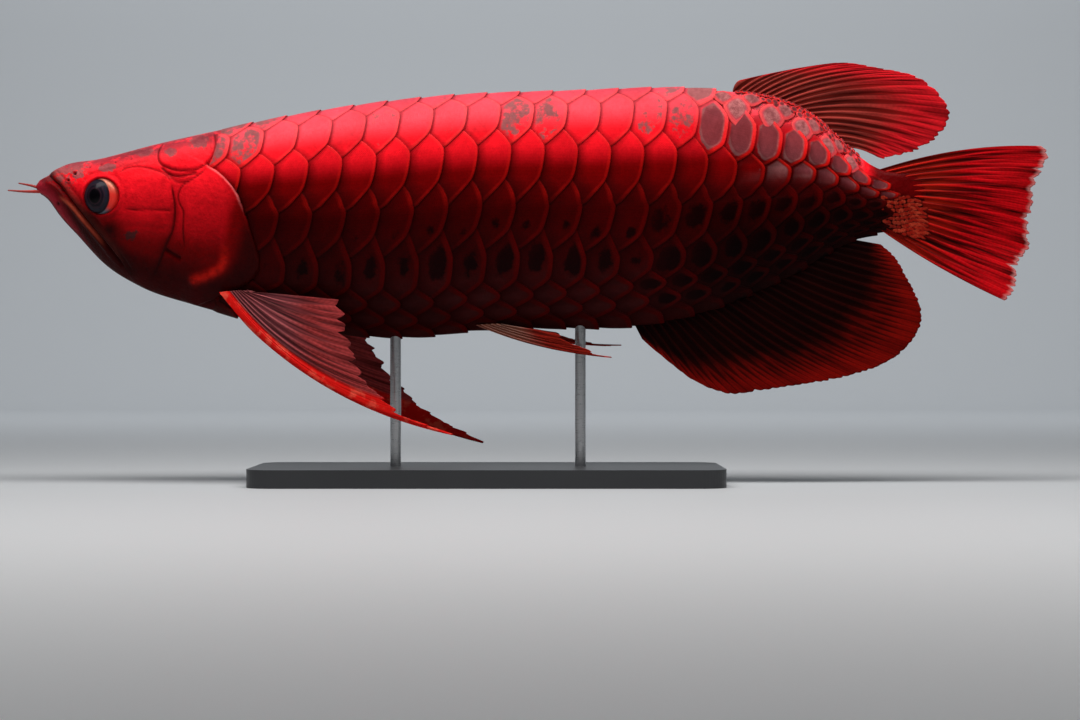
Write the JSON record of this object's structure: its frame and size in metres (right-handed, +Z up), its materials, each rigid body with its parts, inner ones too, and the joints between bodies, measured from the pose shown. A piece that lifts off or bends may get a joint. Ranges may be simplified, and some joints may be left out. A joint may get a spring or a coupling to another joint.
{
  "type": "asian arowana model",
  "caption": "Life-size still model of an adult red Asian arowana, level and swimming, held over a flat base by two short rods.",
  "frame": {"origin": "centre of the stand base's underside, on the surface that the base rests on", "axes": "-X is where the fish looks, +X towards its tail, -Y its left side, +Z up"},
  "size_m": [0.5796, 0.11, 0.2349],
  "materials": {
    "head_skin": "wet, satin gloss",
    "body_scales": "wet, satin gloss, large scales",
    "fin_membrane": "thin, satin, ribbed by rays",
    "eye": "clear wet globe over a dark iris",
    "stand_slab": "fine satin",
    "stand_metal": "brushed"
  },
  "bodies": {
    "root": {"head": "head_skin", "lower_jaw": "head_skin", "gill_cover_left": "head_skin", "gill_cover_right": "head_skin", "barbel_left": "head_skin", "barbel_right": "head_skin", "eye_left": "eye", "eye_right": "eye", "torso": "body_scales", "tail": "body_scales", "dorsal_fin": "fin_membrane", "anal_fin": "fin_membrane", "caudal_fin": "fin_membrane", "pectoral_fin_left": "fin_membrane", "pectoral_fin_right": "fin_membrane", "pelvic_fin_left": "fin_membrane", "pelvic_fin_right": "fin_membrane", "stand_base": "stand_slab", "stand_rod_front": "stand_metal", "stand_rod_rear": "stand_metal"}
  },
  "joints": []
}
